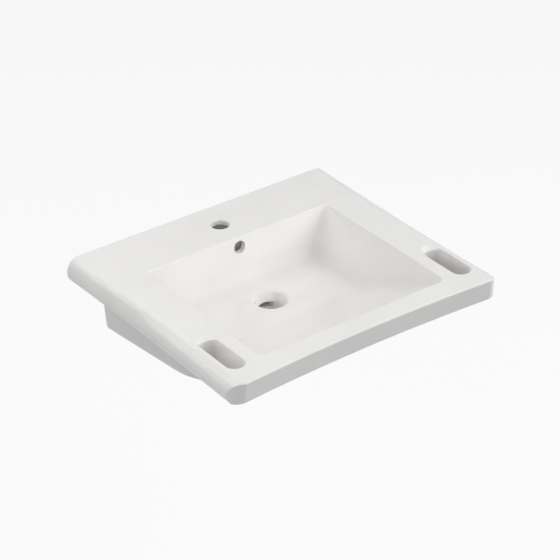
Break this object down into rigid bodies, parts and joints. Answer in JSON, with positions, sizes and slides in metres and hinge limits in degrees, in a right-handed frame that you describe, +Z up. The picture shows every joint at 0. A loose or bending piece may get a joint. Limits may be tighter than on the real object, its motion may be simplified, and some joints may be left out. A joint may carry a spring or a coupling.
{
  "type": "wall hung basin",
  "caption": "Wall-hung wash basin with a rectangular bowl, one tap hole, overflow, a grip slot at each side and its wall fixing set.",
  "frame": {"origin": "on the wall's face, midway between the two hanger bolts, 105 mm under the deck", "axes": "+X to the right of a person who stands at the basin, -Y the front, +Z up; the wall is the plane y = 0"},
  "size_m": [0.6, 0.5924, 0.176],
  "materials": {
    "glazed_vitreous_china": "glossy white glaze",
    "zinc_plated_steel": "bright zinc plate",
    "white_nylon": "moulded, matt"
  },
  "bodies": {
    "root": {"basin_body": "glazed_vitreous_china", "hanger_bolt_left": "zinc_plated_steel", "collar_bush_left": "white_nylon", "washer_left": "zinc_plated_steel", "fixing_nut_left": "zinc_plated_steel", "hanger_bolt_right": "zinc_plated_steel", "collar_bush_right": "white_nylon", "washer_right": "zinc_plated_steel", "fixing_nut_right": "zinc_plated_steel"}
  },
  "joints": []
}
